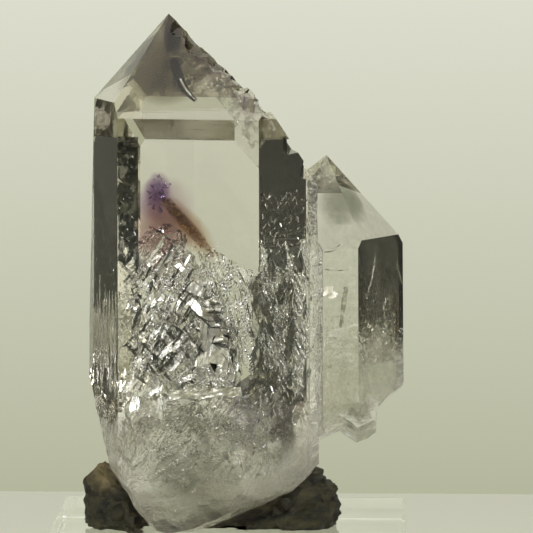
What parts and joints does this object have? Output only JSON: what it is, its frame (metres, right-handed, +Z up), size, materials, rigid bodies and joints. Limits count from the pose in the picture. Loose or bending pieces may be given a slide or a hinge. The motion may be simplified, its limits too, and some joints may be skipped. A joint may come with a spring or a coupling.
{
  "type": "skeletal amethyst crystal on a display base",
  "caption": "Clear quartz crystal with an amethyst phantom and skeletal hollows, a smaller crystal grown on its side, held by putty on a clear square block.",
  "frame": {"origin": "middle of the underside of the clear block, on the surface it stands on", "axes": "+Z up along the crystals, -Y the front that the large bright face looks towards, +X towards the small crystal"},
  "size_m": [0.038, 0.038, 0.0708],
  "materials": {
    "quartz": "clear natural quartz, flat shiny faces, smoky below the tip, purple and brown zones, milky rough foot",
    "putty": "matte grey-brown kneaded putty",
    "acrylic": "polished clear cast acrylic"
  },
  "bodies": {
    "root": {"quartz_crystals": "quartz", "mounting_putty": "putty", "acrylic_base": "acrylic"}
  },
  "joints": []
}
